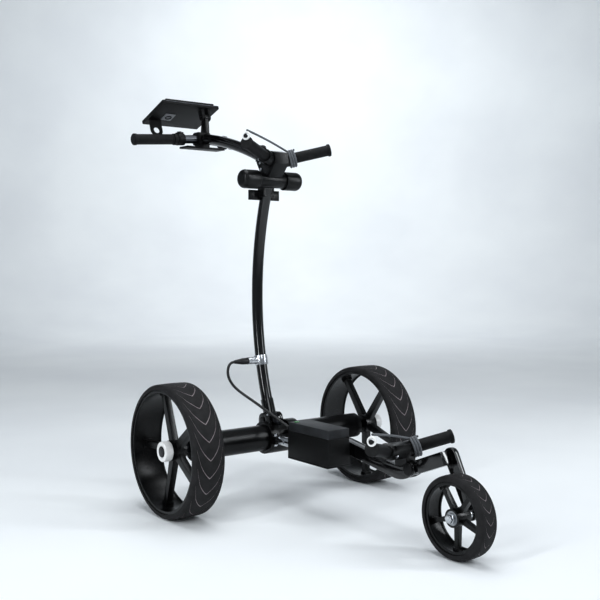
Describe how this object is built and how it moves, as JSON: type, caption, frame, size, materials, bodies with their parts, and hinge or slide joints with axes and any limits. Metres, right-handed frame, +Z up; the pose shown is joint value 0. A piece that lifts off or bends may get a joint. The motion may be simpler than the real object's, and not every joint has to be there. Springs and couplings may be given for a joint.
{
  "type": "electric golf bag cart",
  "caption": "Three-wheel electric golf bag cart: bowed folding mast, forked bag cradles with elastic cords, side battery, drum rear wheels and a tilting scorecard board.",
  "frame": {"origin": "middle of the cart's footprint, on the ground", "axes": "+X forwards towards the front wheel, +Y to the cart's left, +Z up"},
  "size_m": [1.13, 0.644, 0.999],
  "materials": {
    "gloss_black_paint": "gloss powder coat",
    "satin_black_paint": "satin powder coat",
    "steel": "plain steel",
    "bright_steel": "bright zinc plate",
    "satin_steel": "dark satin anodised",
    "dark_grey_metal": "satin anodised",
    "black_plastic": "fine moulded grain",
    "lid_plastic": "fine moulded grain",
    "gloss_black_plastic": "gloss moulded",
    "white_plastic": "gloss moulded",
    "grey_rubber": "matt ribbed rubber",
    "black_rubber": "matt",
    "tread_rubber": "matt, grooved tread",
    "grey_cord": "braided sleeve over elastic",
    "circuit_board": "potted board",
    "cell_wrap": "shrink wrap"
  },
  "bodies": {
    "chassis": {"axle_tube": "gloss_black_paint", "drive_motors": "steel", "gearboxes": "steel", "axle_caps": "gloss_black_paint", "axle_bearings": "steel", "motor_controller": "circuit_board", "axle_clamp": "gloss_black_paint", "clamp_bolts": "bright_steel", "mast_foot": "gloss_black_paint", "hinge_pins": "dark_grey_metal", "chassis_spine": "gloss_black_paint", "battery_tray": "black_plastic", "battery_plug": "bright_steel", "lower_bracket": "satin_black_paint", "lower_arm_bars": "steel", "lower_arm_sleeves": "grey_rubber", "lower_bungee": "grey_cord", "lower_bungee_ring": "white_plastic", "power_cable": "black_rubber"},
    "latch": {"mast_latch": "dark_grey_metal"},
    "mast": {"mast_tube": "gloss_black_paint", "cable_clamp": "bright_steel", "strain_relief": "black_rubber", "head_block": "satin_black_paint", "cross_barrel": "satin_black_paint", "handle_pin": "bright_steel", "upper_arm_bars": "steel", "upper_arm_sleeves": "grey_rubber", "upper_bungee": "grey_cord", "upper_bungee_ring": "white_plastic"},
    "knobs": {"clamp_knobs": "black_plastic"},
    "handle": {"handle_stem": "gloss_black_paint", "handle_hub": "black_plastic", "handle_bar": "satin_steel", "grip_left": "grey_rubber", "grip_right": "grey_rubber", "control_pods": "black_plastic", "board_arm": "satin_black_paint"},
    "power_button": {"power_button": "dark_grey_metal"},
    "speed_dial": {"speed_dial": "black_plastic"},
    "board": {"scorecard_board": "black_plastic"},
    "battery": {"battery_case": "black_plastic", "battery_lid": "lid_plastic", "battery_cells": "cell_wrap"},
    "front_leg": {"front_leg": "satin_black_paint", "front_fork": "gloss_black_paint", "front_axle": "bright_steel"},
    "front_wheel": {"front_rim": "gloss_black_plastic", "front_tyre": "tread_rubber", "front_bearings": "steel"},
    "rear_wheel_left": {"rear_rim_left": "gloss_black_plastic", "rear_tyre_left": "tread_rubber", "hub_cap_left": "white_plastic", "drive_shaft_left": "steel"},
    "rear_wheel_right": {"rear_rim_right": "gloss_black_plastic", "rear_tyre_right": "tread_rubber", "hub_cap_right": "white_plastic", "drive_shaft_right": "steel"},
    "release_left": {"release_button_left": "black_plastic"},
    "release_right": {"release_button_right": "black_plastic"}
  },
  "joints": [
    {"name": "rear_wheel_left_spin", "type": "hinge", "parent": "chassis", "child": "rear_wheel_left", "pos_m": [-0.10698, 0.284, 0.15], "axis": [0, 1, 0], "continuous": true},
    {"name": "rear_wheel_right_spin", "type": "hinge", "parent": "chassis", "child": "rear_wheel_right", "pos_m": [-0.10698, -0.284, 0.15], "axis": [0, 1, 0], "continuous": true},
    {"name": "front_wheel_spin", "type": "hinge", "parent": "front_leg", "child": "front_wheel", "pos_m": [0.48302, 0, 0.082], "axis": [0, 1, 0], "continuous": true},
    {"name": "leg_fold", "type": "hinge", "parent": "chassis", "child": "front_leg", "pos_m": [0.34002, 0.02, 0.147], "axis": [0, 1, 0], "range_deg": [0, 90]},
    {"name": "mast_fold", "type": "hinge", "parent": "chassis", "child": "mast", "pos_m": [-0.1374, 0, 0.18635], "axis": [0, 1, 0], "range_deg": [0, 80], "deforming": ["power_cable"]},
    {"name": "latch_lift", "type": "hinge", "parent": "chassis", "child": "latch", "pos_m": [-0.09298, -0.0295, 0.1975], "axis": [0, 1, 0], "range_deg": [-40, 0]},
    {"name": "clamp_knobs_turn", "type": "hinge", "parent": "mast", "child": "knobs", "pos_m": [-0.13898, 0, 0.769], "axis": [0, 1, 0], "continuous": true},
    {"name": "handle_tilt", "type": "hinge", "parent": "mast", "child": "handle", "pos_m": [-0.15498, 0, 0.82], "axis": [0, 1, 0], "range_deg": [-60, 30]},
    {"name": "board_tilt", "type": "hinge", "parent": "handle", "child": "board", "pos_m": [-0.45498, 0.01, 0.959], "axis": [0, 1, 0], "range_deg": [-25, 35]},
    {"name": "power_button_press", "type": "slide", "parent": "handle", "child": "power_button", "axis": [0, 0.0785, -0.9969], "range_m": [0, 0.002], "stiffness_N_per_m": 300},
    {"name": "speed_dial_turn", "type": "hinge", "parent": "handle", "child": "speed_dial", "pos_m": [-0.45698, 0, 0.901], "axis": [0, -0.9969, -0.0785], "range_deg": [-135, 135]},
    {"name": "battery_slide", "type": "slide", "parent": "chassis", "child": "battery", "axis": [1, 0, 0], "range_m": [0, 0.08]},
    {"name": "release_left_press", "type": "slide", "parent": "rear_wheel_left", "child": "release_left", "axis": [0, -1, 0], "range_m": [0, 0.002], "stiffness_N_per_m": 600},
    {"name": "release_right_press", "type": "slide", "parent": "rear_wheel_right", "child": "release_right", "axis": [0, 1, 0], "range_m": [0, 0.002], "stiffness_N_per_m": 600}
  ]
}
